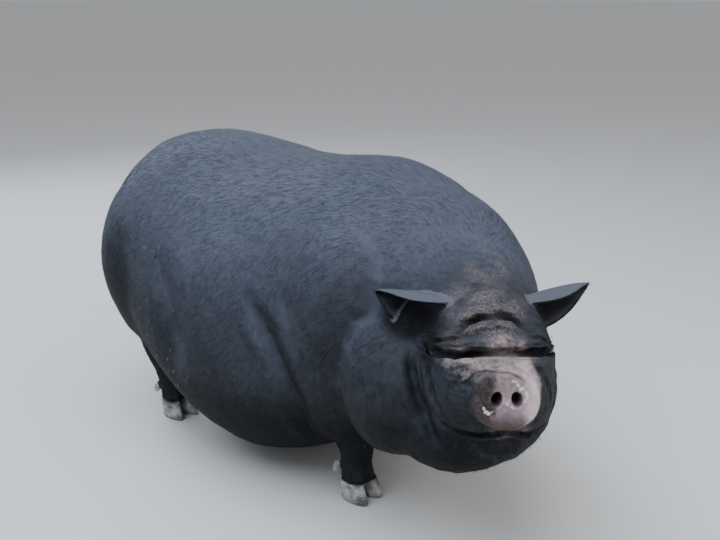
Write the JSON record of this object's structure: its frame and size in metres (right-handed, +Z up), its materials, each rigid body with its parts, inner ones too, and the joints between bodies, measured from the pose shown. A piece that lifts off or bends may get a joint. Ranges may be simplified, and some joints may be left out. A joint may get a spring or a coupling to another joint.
{
  "type": "pot bellied pig",
  "caption": "Still, life-size model of a standing black pot bellied pig, with its heavy belly near the floor and its wrinkled head turned to the right.",
  "frame": {"origin": "on the floor under the middle of the box round the whole animal", "axes": "+X along the trunk towards the head, +Y to the animal's left, +Z up"},
  "size_m": [0.9962, 0.503, 0.5176],
  "materials": {
    "hide": "matt dark grey skin under short sparse black bristles",
    "snout_skin": "moist pinkish skin",
    "horn": "dull grey horn",
    "eye": "wet dark brown",
    "bristle": "coarse black hair"
  },
  "bodies": {
    "root": {"dewclaw_fore_left_inner": "horn", "dewclaw_fore_left_outer": "horn", "dewclaw_fore_right_inner": "horn", "dewclaw_fore_right_outer": "horn", "dewclaw_hind_left_inner": "horn", "dewclaw_hind_left_outer": "horn", "dewclaw_hind_right_inner": "horn", "dewclaw_hind_right_outer": "horn", "ear_left": "hide", "ear_right": "hide", "eye_left": "eye", "eye_right": "eye", "foreleg_left": "hide", "foreleg_right": "hide", "head": "hide", "hindleg_left": "hide", "hindleg_right": "hide", "hoof_fore_left_inner": "horn", "hoof_fore_left_outer": "horn", "hoof_fore_right_inner": "horn", "hoof_fore_right_outer": "horn", "hoof_hind_left_inner": "horn", "hoof_hind_left_outer": "horn", "hoof_hind_right_inner": "horn", "hoof_hind_right_outer": "horn", "neck": "hide", "snout": "snout_skin", "tail": "hide", "tail_switch": "bristle", "torso": "hide"}
  },
  "joints": []
}
